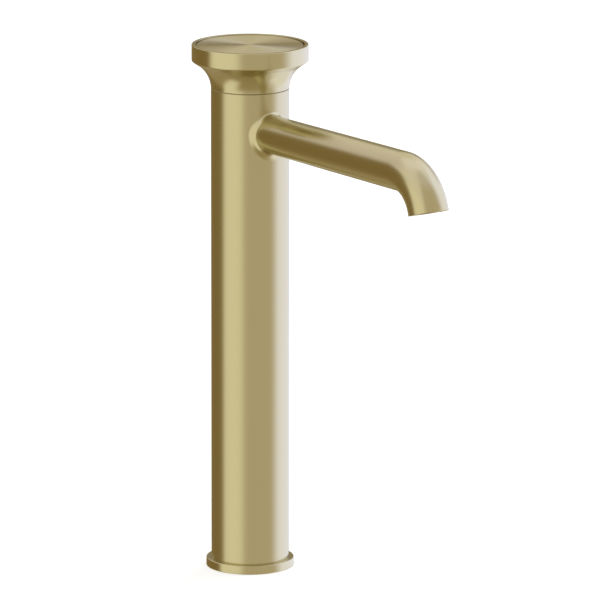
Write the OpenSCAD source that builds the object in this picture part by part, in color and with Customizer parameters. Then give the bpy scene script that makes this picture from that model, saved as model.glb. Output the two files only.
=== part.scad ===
// Single-hole bathroom mixer tap for a countertop basin: a tall plain column with a slender
// horizontal spout and a wide turning knob on top. Millimetres, +Z up. The origin is the centre
// of the base on the worktop, and the spout points along -Y.

/* [Column] */
// Outside diameter of the column
column_d = 45; // [44:0.5:50]
// Wall thickness of the column
column_wall = 2.5; // [2:0.1:2.8]
// Height of the column's top edge above the worktop
column_h = 282.4; // [180:0.1:340]
// Chamfer on the column's top edge and on the knob's bottom edge
seam_chamfer = 0.5; // [0.2:0.1:0.8]
// Width of the seam between the column and the knob
seam_gap = 0.4; // [0.3:0.05:0.8]

/* [Base] */
// Width of the base ring's ledge around the column
base_ledge = 3; // [2.2:0.1:8]
// Height of the base ring
base_ring_h = 5; // [4:0.5:8]
// Thickness of the lip that the column stands on
base_lip_h = 2; // [1.8:0.1:3]
// Width of the lip, from the column's face inwards
base_lip_w = 3.5; // [3:0.1:5]
// Edge rounding of the base ring, cut as a chamfer
base_edge = 0.5; // [0.2:0.1:1]
// Depth of the gasket and its groove
gasket_h = 1; // [0.6:0.1:1.2]
// Width of the gasket's band
gasket_band = 2.8; // [2:0.1:3]
// Height of the closing plug
plug_h = 18; // [16:0.5:30]
// Height of the snap ring's underside above the worktop
circlip_z = 6.2; // [4:0.1:12]
// Thickness of the snap ring
circlip_t = 1.6; // [1.2:0.1:2]

/* [Water ways] */
// Distance between the hot and cold tubes
supply_spacing = 16; // [15:0.5:17]
// Distance of the tubes behind the column's axis
supply_back = 5; // [4:0.5:6]
// Outside diameter of a supply tube
supply_d = 10; // [9:0.5:10.5]
// Wall of a supply tube
supply_wall = 1; // [0.8:0.1:1.5]
// Tapping diameter of the M10x1 hose threads
hose_tap_d = 9; // [8:0.1:9.5]
// Depth of the hose threads
hose_tap_depth = 9; // [7:0.5:9]
// Tapping diameter of the M6 stud threads
stud_tap_d = 5; // [4:0.1:6]
// Depth of the stud threads
stud_tap_depth = 14; // [8:0.5:15]
// Distance between the two studs
stud_spacing = 16; // [14:0.5:18]
// Distance of the studs in front of the column's axis
stud_front = 10; // [9:0.5:11]

/* [Spout] */
// Distance from the column's top edge down to the spout's axis
spout_drop = 23.6; // [23:0.1:60]
// Length of the straight part, from the column's axis to the bend
spout_straight = 152; // [90:0.1:180]
// Bend radius of the spout's centre line
bend_radius = 25.7; // [20:0.1:40]
// Angle that the spout's end turns down
bend_angle = 74; // [45:0.1:90]
// Straight length past the bend
spout_end = 1.2; // [1:0.1:10]
// Outside diameter of the spout at the column
spout_root_d = 21.8; // [21.4:0.1:24]
// Outside diameter of the spout in the bend
spout_bend_d = 22.8; // [22:0.1:25]
// Outside diameter of the spout at its outlet
spout_tip_d = 23; // [22:0.1:26]
// Bore of the spout
spout_bore_d = 16; // [14:0.1:16.5]
// Reach of the collar along the spout
collar_reach = 2.8; // [2:0.1:4]
// Reach of the collar up the column
collar_up = 2; // [1.5:0.1:4]
// Reach of the collar to the left and right on the column
collar_side = 2.4; // [1.5:0.1:3.5]
// Reach of the collar down the column
collar_down = 4.4; // [1.5:0.1:5]
// Share of the full hollow in the collar's section
collar_hollow = 0.5; // [0.05:0.05:0.8]
// Thickness of the collar's thin edges
collar_edge = 0.15; // [0.12:0.01:0.4]
// Length of the shank inside the spout, past the column's face
shank_grip = 22; // [12:1:40]

/* [Aerator] */
// Thread diameter of the aerator
aerator_d = 18.5; // [17.5:0.1:18.8]
// Depth of the aerator's seat in the spout
aerator_seat = 8.5; // [8:0.1:10]
// Depth of the aerator's face behind the spout's end
aerator_recess = 0.5; // [0.2:0.1:1.2]

/* [Knob] */
// Largest diameter of the knob
knob_d = 67.2; // [62:0.2:76]
// Height of the knob
knob_h = 25.4; // [25:0.1:32]
// Height of the straight rim, with its top chamfer
rim_h = 9.5; // [7:0.1:10]
// Width of the bevel under the rim
bevel_w = 3; // [1:0.1:3]
// Height of the bevel under the rim
bevel_h = 2; // [1.5:0.1:3]
// Depth of the hollow in the flare between neck and rim
flare_hollow = 1.8; // [1.2:0.1:2.6]
// Width of the rim's top face
rim_w = 2.2; // [1.6:0.1:4]
// Chamfer on the rim's top edge
rim_chamfer = 0.4; // [0.2:0.1:0.8]
// Width of the groove around the cap
cap_groove = 0.7; // [0.3:0.1:1.2]
// Thickness of the cap
cap_t = 2.5; // [1.6:0.1:2.6]
// Depth of the cap's top below the rim
cap_recess = 0.4; // [0.1:0.1:0.6]
// Wall of the knob's skirt at the neck
skirt_wall = 3.1; // [2.6:0.1:3.4]

/* [Cartridge] */
// Outside diameter of the cartridge
cartridge_d = 25; // [24.6:0.1:25.6]
// Diameter of the spindle's shaft
spindle_d = 8; // [7:0.1:9]
// Number of teeth of the spindle's spline
spline_teeth = 20; // [12:1:24]
// Angle that the knob turns from closed to fully hot
knob_travel = 100; // [80:1:120]

/* [Fits] */
// Gap between still parts that slide together
slip = 0.05; // [0.03:0.01:0.08]
// Gap around the parts that turn
running = 0.08; // [0.05:0.01:0.1]

/* [Hidden] */

$fn = 96;
over = 1;                                   // how far a cut runs past the face that it opens

gold = "#c8b98c";
raw_brass = "#b59a55";
steel = "#b8bcc0";
black = "#2b2b2d";
white = "#e9e7e0";
ceramic = "#f3f0e8";

column_r = column_d / 2;
bore_r = column_r - column_wall;

// Base plug and snap ring
plug_step = 0.5;                            // widening of the bore that stops the plug
plug_shoulder = 4;                          // length of the plug's narrow top
plug_z = circlip_z + circlip_t;
plug_top_z = plug_z + plug_h;
plug_step_z = plug_top_z - plug_shoulder;
plug_bore_r = bore_r + plug_step;
circlip_bite = 0.8;                         // depth of the snap ring's groove
circlip_band = 3.4;
circlip_gap = 26;                           // open angle between the snap ring's ears
circlip_ear_d = 5;
circlip_hole_d = 2;

// Supply tubes and their O-rings
supply_r = supply_d / 2;
socket_r = supply_r + slip;
plug_socket_depth = 8;
seat_socket_depth = 10;
socket_ring_inset = 4;                      // O-ring centre from the socket's mouth
supply_ring_d = 1.6;
way_d = 6;                                  // drilled water ways in the brass

// Spout
spout_z = column_h - spout_drop;
spout_root_r = spout_root_d / 2;
spout_bend_r = spout_bend_d / 2;
spout_tip_r = spout_tip_d / 2;
outlet_y = -(spout_straight + bend_radius * sin(bend_angle) + spout_end * cos(bend_angle));
outlet_z = spout_z - bend_radius * (1 - cos(bend_angle)) - spout_end * sin(bend_angle);
bend_step = 0.02;                           // hairline step where the straight parts meet the bend
bend_lap = 0.4;                             // run of the straight parts inside the bend
shank_r = spout_bore_d / 2 - bend_step - slip;
shank_wall = 2.4;
shank_hole_r = shank_r - shank_wall;
shank_tail = 4;                             // shank past the lock screw's axis
lock_d = 3;
lock_bite = 1;                              // depth of the groove that the lock screw enters
lock_length = 8;
shank_ring_d = 1.1;
collar_steps = 8;                           // steps of the collar's hollow curve
collar_sides = 72;                          // sections around the spout
collar_root = 3;                            // depth that is trimmed off by the column and spout
collar_fn = 360;                            // fineness of the thin collar's inner faces

// Valve seat and cartridge, from the seat's top down
seat_down = 2.4;                            // seat's top below the column's edge
seat_below = 21;                            // seat's length below the spout's axis
nut_thread_d = 30;
nut_thread_h = 3;
flange_h = 3;
flange_rim = 1.3;                           // how far the cartridge's flange stands out
cartridge_foot = 5;                         // cartridge below its flange
seat_r = bore_r - slip;
seat_top_z = column_h - seat_down;
seat_z = spout_z - seat_below;
flange_z = seat_top_z - nut_thread_h - flange_h;
floor_z = flange_z - cartridge_foot;
cartridge_r = cartridge_d / 2;
flange_r = cartridge_r + flange_rim;
seat_bore_r = cartridge_r + 2 * slip;
lock_y = -(nut_thread_d / 2 + seat_r) / 2;
shank_y = lock_y + shank_tail;
port_side = 5.5;                            // hot and cold ports beside the axis
port_back = 3.5;                            // hot and cold ports behind the axis
port_front = 6.5;                           // mixed port in front of the axis
ports = [[-port_side, port_back], [port_side, port_back], [0, -port_front]];
port_seal_band = 1.1;
port_seal_h = 1.2;
cartridge_base_h = 3;
fixed_disc_h = 2.5;
moving_disc_h = 2.3;
carrier_h = 3;
disc_r = cartridge_r - 2.1;
disc_gap = 0.3;                             // turning discs from the housing's wall
fixed_disc_z = floor_z + cartridge_base_h;
moving_disc_z = fixed_disc_z + fixed_disc_h + running;
carrier_z = moving_disc_z + moving_disc_h;
spindle_z = carrier_z + carrier_h;
spindle_flange_h = 1.5;
chamber_top_z = spindle_z + spindle_flange_h + disc_gap;
neck_r = cartridge_r - 0.5;
neck_above_seat = 8;                        // cartridge's neck above the seat's top
neck_top_z = seat_top_z + neck_above_seat;
nut_flats = 27;
nut_h = 5;                                  // hexagon above the seat's top

// Knob, from the seam up
knob_z = column_h + seam_gap;
knob_top_z = knob_z + knob_h;
knob_r = knob_d / 2;
rim_z = knob_top_z - rim_h;
skirt_r = column_r - skirt_wall;
skirt_straight = 5.5;                       // straight bore of the skirt
glide_clear = running + 0.02;
glide_wall = 1.8;
glide_h = 3.2;                              // spigot that guides the knob's skirt
glide_flange_in = 0.8;                      // flange's edge inside the column's face
glide_flange_h = seam_gap - running;
cap_top_z = knob_top_z - cap_recess;
cap_z = cap_top_z - cap_t;
cap_pocket_r = knob_r - rim_w;
cap_r = cap_pocket_r - cap_groove;
cap_chamfer = 0.4;
recess_r = 14.2;                            // well under the cap for the screw's head
recess_depth = 3.3;
well_z = cap_z - recess_depth;
web_t = 3;                                  // floor of the well
web_z = well_z - web_t;
cavity_r = 26.5;
cavity_shoulder = 1;
hub_r = 9;
stop_h = 2;                                 // height of the cartridge's stop and the ring's tab
stop_clear = 0.3;
stop_r = 10.8;
stop_in_r = 8;
limit_z = neck_top_z + stop_clear;
limit_r = 7.4;
limit_h = stop_h;
tab_angle = 30;
stop_slack = 2;                             // free angle left at each end of the travel
free_angle = knob_travel + tab_angle + 2 * stop_slack;
free_from = 90 - free_angle / 2;            // the free sector faces the back
hub_z = limit_z + limit_h + 0.8;
insert_r = 6.5;
insert_top = 1;                             // end wall of the spline bush
insert_top_z = web_z + 0.6;
spindle_r = spindle_d / 2;
spline_tip_r = spindle_r - 0.05;
spline_depth = 0.4;
spline_fit = 0.1;
spline_z = limit_z - 0.2;
spindle_top_z = insert_top_z - insert_top - 0.2;
screw_d = 5;
screw_length = 14;
screw_head_r = 4.3;
screw_head_h = 2;
screw_hex = 3;
washer_h = 0.8;
washer_r = 5.6;
cap_boss_h = 2.2;
cap_boss_wall = 3.6;
cap_ring_d = 1.4;
spindle_ring_d = 0.9;

// Aerator, along the outlet's axis from the spout's end inwards
aerator_r = aerator_d / 2;
aerator_body_h = 6.5;
aerator_wall = 1;
aerator_lip = 0.6;
aerator_lip_h = 1;
core_h = 3.4;
screen_h = 0.6;
cell_pitch = 2.3;
cell_d = 1.9;
cell_rings = 3;
screen_pitch = 1.5;
screen_hole_d = 0.9;
screen_rings = 4;
regulator_r = 5.4;
regulator_hole_r = 1.6;
aerator_seal_band = 1.9;
aerator_top = aerator_recess + aerator_body_h;

// A straight tube on the Z axis.
module ring(outer_r, inner_r, height) {
    difference() {
        cylinder(h = height, r = outer_r);
        translate([0, 0, -over]) cylinder(h = height + 2 * over, r = inner_r);
    }
}

// An O-ring around the Z axis, centred on the origin.
module o_ring(inner_r, section_d) {
    rotate_extrude() translate([inner_r + section_d / 2, 0]) circle(d = section_d, $fn = 24);
}

// The groove that holds an O-ring, cut inwards or outwards from a wall.
module ring_groove(low_r, high_r, section_d) {
    width = section_d + 2 * slip;
    translate([0, 0, -width / 2]) ring(high_r, low_r, width);
}

// Moves children to the spout's axis: +Z runs from the column's axis out along the spout.
module along_spout() {
    translate([0, 0, spout_z]) rotate([90, 0, 0]) children();
}

// Moves children to the outlet's centre: +Z runs up into the spout.
module at_outlet() {
    translate([0, outlet_y, outlet_z]) rotate([bend_angle - 90, 0, 0]) children();
}

// The spout's solid run: straight, bend and short straight end. The straight parts run on inside
// the bend for a short lap, a hairline thinner than the bend.
module spout_run(root_r, bend_r, tip_r) {
    meet_r = bend_r - bend_step;
    lap_r = meet_r - max(tip_r - meet_r, 0) * bend_lap / spout_end;
    along_spout() cylinder(h = spout_straight + bend_lap, r1 = root_r, r2 = meet_r);
    along_spout() translate([0, -bend_radius, spout_straight]) rotate([90, 0, 90])
        rotate_extrude(angle = bend_angle) translate([bend_radius, 0]) circle(r = bend_r);
    at_outlet() cylinder(h = spout_end + bend_lap, r1 = tip_r, r2 = lap_r);
}

// Places children at the hot and the cold tube.
module at_supplies() {
    for (side = [-1, 1]) translate([side * supply_spacing / 2, supply_back, 0]) children();
}

// Serrated shaft or hole, with sharp teeth between two radii.
module spline(tip_r, depth, height) {
    step = 180 / spline_teeth;
    linear_extrude(height) polygon([for (i = [0 : 2 * spline_teeth - 1])
        (tip_r - depth * (i % 2)) * [cos(i * step), sin(i * step)]]);
}

// Centres of round cells in a hexagonal field.
function hex_field(rings, pitch) = [for (i = [-rings : rings], j = [-rings : rings])
    if (abs(i + j) <= rings) pitch * [i + j / 2, j * sqrt(3) / 2]];

// ---- Base ----

// Rubber band set in the underside, which seals the tap to the worktop.
module base_gasket() {
    color(black) ring(column_r + gasket_band / 3, column_r - gasket_band * 2 / 3, gasket_h);
}

// Turned trim ring around the foot; its lip carries the column.
module base_ring() {
    outer_r = column_r + base_ledge;
    lip_r = column_r - base_lip_w;
    groove_out = column_r + gasket_band / 3 + slip;
    groove_in = column_r - gasket_band * 2 / 3 - slip;
    color(gold) rotate_extrude() difference() {
        polygon([
            [lip_r, 0], [outer_r - base_edge, 0], [outer_r, base_edge],
            [outer_r, base_ring_h - base_edge], [outer_r - base_edge, base_ring_h],
            [column_r + slip, base_ring_h], [column_r + slip, base_lip_h], [lip_r, base_lip_h]
        ]);
        translate([groove_in, -over]) square([groove_out - groove_in, gasket_h + over]);
    }
}

// The column: a drawn tube with a stepped foot, a snap-ring groove and the spout's hole.
module column_tube() {
    color(gold) difference() {
        rotate_extrude() polygon([
            [plug_bore_r, base_lip_h], [column_r, base_lip_h],
            [column_r, column_h - seam_chamfer], [column_r - seam_chamfer, column_h],
            [bore_r, column_h], [bore_r, plug_step_z], [plug_bore_r, plug_step_z]
        ]);
        translate([0, 0, circlip_z - slip])
            ring(plug_bore_r + circlip_bite, plug_bore_r - over, circlip_t + 2 * slip);
        along_spout() cylinder(h = column_d, r = shank_r + 3 * slip);
    }
}

// Internal snap ring under the plug, open at the back, with an ear on each side of the gap.
module base_circlip() {
    outer_r = plug_bore_r + circlip_bite - slip;
    inner_r = outer_r - circlip_band;
    ear_r = outer_r - circlip_ear_d / 2;
    color(steel) translate([0, 0, circlip_z]) difference() {
        union() {
            rotate(90 + circlip_gap / 2) rotate_extrude(angle = 360 - circlip_gap)
                translate([inner_r, 0]) square([circlip_band, circlip_t]);
            for (side = [-1, 1]) rotate(90 + side * (circlip_gap + circlip_ear_d) / 2)
                translate([ear_r, 0, 0]) cylinder(h = circlip_t, d = circlip_ear_d);
        }
        for (side = [-1, 1]) rotate(90 + side * (circlip_gap + circlip_ear_d) / 2)
            translate([ear_r, 0, -over]) cylinder(h = circlip_t + 2 * over, d = circlip_hole_d);
    }
}

// Brass plug that closes the foot: hose threads and stud threads below, tube sockets above.
module base_plug() {
    socket_z = plug_top_z - plug_socket_depth;
    color(raw_brass) difference() {
        union() {
            translate([0, 0, plug_z]) cylinder(h = plug_h, r = bore_r - slip);
            translate([0, 0, plug_z]) cylinder(h = plug_h - plug_shoulder, r = plug_bore_r - slip);
        }
        at_supplies() {
            translate([0, 0, plug_z - over]) cylinder(h = hose_tap_depth + over, d = hose_tap_d);
            translate([0, 0, plug_z]) cylinder(h = plug_h, d = way_d);
            translate([0, 0, socket_z]) cylinder(h = plug_socket_depth + over, r = socket_r);
            translate([0, 0, plug_top_z - socket_ring_inset])
                ring_groove(supply_r - over, supply_r + supply_ring_d + 2 * slip, supply_ring_d);
        }
        for (side = [-1, 1]) translate([side * stud_spacing / 2, -stud_front, plug_z - over])
            cylinder(h = stud_tap_depth + over, d = stud_tap_d);
    }
}

// ---- Water ways inside the column ----

// Copper tube from the plug up to the valve seat.
module supply_tube(side) {
    low_z = plug_top_z - plug_socket_depth;
    high_z = seat_z + seat_socket_depth;
    color("#b87333") translate([side * supply_spacing / 2, supply_back, low_z])
        ring(supply_r, supply_r - supply_wall, high_z - low_z);
}

// The four O-rings in the tube sockets.
module supply_o_rings() {
    color(black) at_supplies() for (z = [plug_top_z - socket_ring_inset, seat_z + socket_ring_inset])
        translate([0, 0, z]) o_ring(supply_r + slip, supply_ring_d);
}

// Brass block at the column's top that joins the tubes, the cartridge and the spout.
module valve_seat() {
    color(raw_brass) difference() {
        translate([0, 0, seat_z]) cylinder(h = seat_top_z - seat_z, r = seat_r);
        translate([0, 0, floor_z]) cylinder(h = seat_top_z, r = seat_bore_r);
        translate([0, 0, flange_z]) cylinder(h = seat_top_z, r = flange_r + 2 * slip);
        translate([0, 0, seat_top_z - nut_thread_h]) cylinder(h = column_h, d = nut_thread_d + 2 * slip);
        along_spout() translate([0, 0, -shank_y]) cylinder(h = column_d, r = shank_r + 2 * slip);
        along_spout() translate([0, 0, port_front - way_d / 2 - over])
            cylinder(h = column_d, r = shank_hole_r);
        translate([0, -port_front, spout_z]) cylinder(h = seat_top_z - spout_z, d = way_d);
        for (side = [-1, 1]) translate([side * port_side, port_back, seat_z + seat_socket_depth - over])
            cylinder(h = seat_top_z - seat_z, d = way_d);
        at_supplies() {
            translate([0, 0, seat_z - over]) cylinder(h = seat_socket_depth + over, r = socket_r);
            translate([0, 0, seat_z + socket_ring_inset])
                ring_groove(supply_r - over, supply_r + supply_ring_d + 2 * slip, supply_ring_d);
        }
        translate([0, lock_y, spout_z]) cylinder(h = seat_top_z, d = lock_d + 2 * slip, $fn = 32);
    }
}

// ---- Spout ----

// Brass sleeve that holds the spout in the valve seat and leads the water out.
module spout_shank() {
    lock_w = lock_d + 4 * slip;
    length = column_r + shank_grip + shank_y;
    ring_at = (shank_tail - lock_w / 2) / 2;
    color(raw_brass) along_spout() translate([0, 0, -shank_y]) difference() {
        ring(shank_r, shank_hole_r, length);
        translate([0, 0, ring_at])
            ring_groove(shank_r - shank_ring_d, shank_r + over, shank_ring_d);
        translate([0, 0, shank_tail - lock_w / 2]) ring(shank_r + over, shank_r - lock_bite, lock_w);
    }
}

// O-ring at the shank's inner end.
module shank_seal() {
    ring_at = (shank_tail - lock_d / 2 - 2 * slip) / 2;
    color(black) along_spout() translate([0, 0, ring_at - shank_y])
        o_ring(shank_r - shank_ring_d + slip, shank_ring_d);
}

// Grub screw that drops into the shank's groove and locks the spout.
module spout_lock_screw() {
    tip_z = spout_z + shank_r - lock_bite + slip;
    color(steel) translate([0, lock_y, tip_z]) difference() {
        cylinder(h = lock_length, d = lock_d, $fn = 32);
        translate([0, 0, lock_length - lock_d / 2]) cylinder(h = lock_d, d = lock_d / 2, $fn = 6);
    }
}

// The spout: a drawn tube that runs out level and turns down at its end.
module spout_tube() {
    color(gold) difference() {
        spout_run(spout_root_r, spout_bend_r, spout_tip_r);
        spout_run(spout_bore_d / 2 - bend_step, spout_bore_d / 2, spout_bore_d / 2);
        at_outlet() translate([0, 0, -over]) cylinder(h = aerator_seat + over, r = aerator_r);
        translate([0, 0, spout_z - column_r]) cylinder(h = column_d, r = column_r + slip);
    }
}

// Distance from the column's axis to its face, at x to the side.
function face_at(x) = sqrt(column_r * column_r - x * x);

// One section of the collar at angle a around the spout, as radius and distance along it.
function collar_section(a) = let (
    upright_reach = cos(a) > 0 ? collar_up : collar_down,
    near_r = spout_root_r + collar_edge,
    far_r = spout_root_r + upright_reach * pow(cos(a), 2) + collar_side * pow(sin(a), 2),
    tube_end = [near_r, face_at(spout_root_r * sin(a)) + collar_reach],
    corner = [near_r, face_at(near_r * sin(a)) + collar_edge],
    face_end = [far_r, face_at(far_r * sin(a)) + collar_edge],
    bow = collar_hollow * corner + (1 - collar_hollow) * (tube_end + face_end) / 2
) concat(
    [for (i = [0 : collar_steps]) let (t = i / collar_steps)
        (1 - t) * (1 - t) * tube_end + 2 * t * (1 - t) * bow + t * t * face_end],
    [face_end - [0, collar_root], corner - [collar_root, collar_root], tube_end - [collar_root, 0]]
);

// Hollow-curved collar that blends the spout into the column.
module spout_collar() {
    step = 360 / collar_sides;
    count = collar_steps + 4;
    points = [for (k = [0 : collar_sides - 1], p = collar_section(k * step))
        [p[0] * sin(k * step), p[0] * cos(k * step), p[1]]];
    faces = [for (k = [0 : collar_sides - 1], i = [0 : count - 1]) let (
        next = ((k + 1) % collar_sides) * count, here = k * count, j = (i + 1) % count)
        each [[here + i, here + j, next + j], [here + i, next + j, next + i]]];
    color(gold) difference() {
        along_spout() polyhedron(points, faces);
        along_spout() cylinder(h = spout_straight, r1 = spout_root_r + slip, r2 = spout_bend_r + slip,
            $fn = collar_fn);
        translate([0, 0, spout_z - column_r]) cylinder(h = column_d, r = column_r + slip, $fn = collar_fn);
    }
}

// ---- Aerator ----

// Flat rubber washer between the aerator and the shoulder in the spout.
module aerator_seal() {
    color(black) at_outlet() translate([0, 0, aerator_top])
        ring(aerator_r - slip, aerator_r - aerator_seal_band, aerator_seat - aerator_top);
}

// Disc that holds the flow steady, on top of the screen.
module flow_regulator() {
    z = aerator_recess + aerator_lip_h + core_h + screen_h;
    color("#4f7f5a") at_outlet() translate([0, 0, z]) difference() {
        cylinder(h = aerator_seat - z, r = regulator_r);
        translate([0, 0, -over]) cylinder(h = aerator_seat, r = regulator_hole_r);
        for (k = [0 : 5]) rotate(k * 60) translate([regulator_r * 0.66, 0, -over])
            cylinder(h = aerator_seat, r = regulator_hole_r / 2, $fn = 24);
    }
}

// Perforated screen on top of the core.
module aerator_screen() {
    screen_r = aerator_r - aerator_wall - slip;
    color(steel) at_outlet() translate([0, 0, aerator_recess + aerator_lip_h + core_h]) difference() {
        cylinder(h = screen_h, r = screen_r);
        for (p = hex_field(screen_rings, screen_pitch)) translate([p[0], p[1], -over])
            cylinder(h = screen_h + 2 * over, d = screen_hole_d, $fn = 16);
    }
}

// Honeycomb insert that shapes the jet.
module aerator_core() {
    core_r = aerator_r - aerator_wall - slip;
    color(white) at_outlet() translate([0, 0, aerator_recess + aerator_lip_h]) difference() {
        cylinder(h = core_h, r = core_r);
        for (p = hex_field(cell_rings, cell_pitch)) translate([p[0], p[1], -over])
            cylinder(h = core_h + 2 * over, d = cell_d, $fn = 6);
    }
}

// Threaded housing of the aerator, with notches for its key.
module aerator_housing() {
    notch = 2;
    color(steel) at_outlet() translate([0, 0, aerator_recess]) difference() {
        ring(aerator_r - slip, aerator_r - aerator_wall - aerator_lip, aerator_body_h);
        translate([0, 0, aerator_lip_h]) cylinder(h = aerator_body_h, r = aerator_r - aerator_wall);
        for (k = [0 : 3]) rotate(45 + k * 90)
            translate([aerator_r - aerator_wall - aerator_lip - over, -notch / 2, -over])
            cube([aerator_wall / 2 + aerator_lip + over, notch, aerator_lip_h * 0.6 + over]);
    }
}

// ---- Cartridge ----

// The three seals under the cartridge.
module port_seals() {
    color(black) for (p = ports) translate([p[0], p[1], floor_z])
        ring(way_d / 2 + port_seal_band, way_d / 2, port_seal_h);
}

// Plastic foot of the cartridge, with the ports and their seal seats.
module cartridge_base() {
    color(white) translate([0, 0, floor_z]) difference() {
        cylinder(h = cartridge_base_h, r = cartridge_r);
        for (p = ports) translate([p[0], p[1], 0]) {
            translate([0, 0, -over]) cylinder(h = cartridge_base_h + 2 * over, d = way_d - 2 * slip);
            translate([0, 0, -over])
                cylinder(h = port_seal_h + over, r = way_d / 2 + port_seal_band + slip);
        }
    }
}

// Ceramic disc that stays still, with the three ports.
module fixed_disc() {
    color(ceramic) translate([0, 0, fixed_disc_z]) difference() {
        cylinder(h = fixed_disc_h, r = disc_r);
        for (p = ports) translate([p[0], p[1], -over])
            cylinder(h = fixed_disc_h + 2 * over, d = way_d - 1);
    }
}

// Cartridge housing: drum, flange and neck, with the stop for the knob's travel on top.
module cartridge_housing() {
    color(white) difference() {
        union() {
            translate([0, 0, fixed_disc_z]) cylinder(h = seat_top_z - fixed_disc_z, r = neck_r);
            translate([0, 0, fixed_disc_z]) cylinder(h = flange_z + flange_h - fixed_disc_z, r = cartridge_r);
            translate([0, 0, flange_z]) cylinder(h = flange_h, r = flange_r);
            translate([0, 0, seat_top_z]) cylinder(h = neck_above_seat, r = neck_r);
            translate([0, 0, neck_top_z]) rotate(free_from + free_angle)
                rotate_extrude(angle = 360 - free_angle)
                translate([stop_in_r, 0]) square([stop_r - stop_in_r, stop_h]);
        }
        translate([0, 0, fixed_disc_z - over])
            cylinder(h = chamber_top_z - fixed_disc_z + over, r = disc_r + disc_gap);
        translate([0, 0, fixed_disc_z]) cylinder(h = column_h, r = spindle_r + running);
    }
}

// Brass nut that clamps the cartridge into its seat.
module cartridge_nut() {
    hole_r = neck_r + 2 * slip;
    thread_z = seat_top_z - nut_thread_h;
    color(raw_brass) difference() {
        union() {
            translate([0, 0, thread_z]) cylinder(h = nut_thread_h, d = nut_thread_d);
            translate([0, 0, seat_top_z]) cylinder(h = nut_h, d = nut_flats / cos(30), $fn = 6);
        }
        translate([0, 0, thread_z - over]) cylinder(h = nut_thread_h + nut_h + 2 * over, r = hole_r);
    }
}

// Low-friction ring at the seam: it centres the knob's skirt and carries its edge.
module glide_ring() {
    guide_r = skirt_r - glide_clear;
    inner_r = guide_r - glide_wall;
    flange_r = column_r - glide_flange_in;
    flange_top = column_h + glide_flange_h;
    color(black) rotate_extrude() polygon([
        [inner_r, seat_top_z], [bore_r - slip, seat_top_z], [bore_r - slip, column_h],
        [flange_r, column_h], [flange_r, flange_top], [guide_r, flange_top],
        [guide_r, flange_top + glide_h], [inner_r, flange_top + glide_h]
    ]);
}

// ---- Turning parts ----

// Ceramic disc that turns, with the mixing pocket in its underside.
module moving_disc() {
    pocket_in = 3.4;
    pocket_w = 5.6;
    pocket_h = 1.2;
    pocket_angle = 150;
    color(ceramic) translate([0, 0, moving_disc_z]) difference() {
        cylinder(h = moving_disc_h, r = disc_r);
        rotate(-90 - pocket_angle / 2) rotate_extrude(angle = pocket_angle)
            translate([pocket_in, -over]) square([pocket_w, pocket_h + over]);
    }
}

// Plastic driver between the spindle and the turning disc.
module disc_carrier() {
    notch_w = 3;
    color(black) translate([0, 0, carrier_z]) difference() {
        cylinder(h = carrier_h, r = disc_r);
        for (side = [0, 180]) rotate(side) translate([disc_r - notch_w, -notch_w / 2, -over])
            cube([notch_w + over, notch_w, carrier_h + 2 * over]);
    }
}

// Brass spindle: flange, sealed shaft and splined end with the screw's thread.
module spindle() {
    ring_z = (chamber_top_z + neck_top_z) / 2;
    screw_hole = screw_length - washer_h - (well_z - spindle_top_z) + 2;
    color(raw_brass) difference() {
        union() {
            translate([0, 0, spindle_z]) cylinder(h = spindle_flange_h, r = spindle_r + 3);
            translate([0, 0, spindle_z]) cylinder(h = spline_z - spindle_z, r = spindle_r);
            translate([0, 0, spline_z]) spline(spline_tip_r, spline_depth, spindle_top_z - spline_z);
        }
        translate([0, 0, ring_z])
            ring_groove(spindle_r + running - slip - spindle_ring_d - slip, spindle_r + over, spindle_ring_d);
        translate([0, 0, spindle_top_z - screw_hole]) cylinder(h = screw_hole + over, d = screw_d, $fn = 48);
    }
}

// O-ring on the spindle's shaft.
module spindle_seal() {
    color(black) translate([0, 0, (chamber_top_z + neck_top_z) / 2])
        o_ring(spindle_r + running - slip - spindle_ring_d, spindle_ring_d);
}

// Splined ring whose tab meets the cartridge's stop at both ends of the travel.
module limit_ring() {
    color(white) translate([0, 0, limit_z]) difference() {
        union() {
            cylinder(h = limit_h, r = limit_r);
            rotate(free_from + stop_slack) rotate_extrude(angle = tab_angle)
                square([stop_r, limit_h]);
        }
        translate([0, 0, -over]) spline(spline_tip_r + spline_fit, spline_depth, limit_h + 2 * over);
    }
}

// Splined bush in the knob's hub.
module knob_insert() {
    height = insert_top_z - hub_z;
    color(white) translate([0, 0, hub_z]) difference() {
        cylinder(h = height, r = insert_r);
        translate([0, 0, -over]) spline(spline_tip_r + spline_fit, spline_depth, height - insert_top + over);
        cylinder(h = height + over, d = screw_d + 4 * slip);
    }
}

// Half of the flare's chord and the radius that gives the chosen hollow.
flare_low = [column_r, knob_z + seam_chamfer];
flare_high = [knob_r - bevel_w, rim_z - bevel_h];
flare_chord = norm(flare_high - flare_low);
flare_r = (pow(flare_chord / 2, 2) + pow(flare_hollow, 2)) / (2 * flare_hollow);
flare_out = [flare_high[1] - flare_low[1], flare_low[0] - flare_high[0]] / flare_chord;
flare_centre = (flare_low + flare_high) / 2 + (flare_r - flare_hollow) * flare_out;

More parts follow.
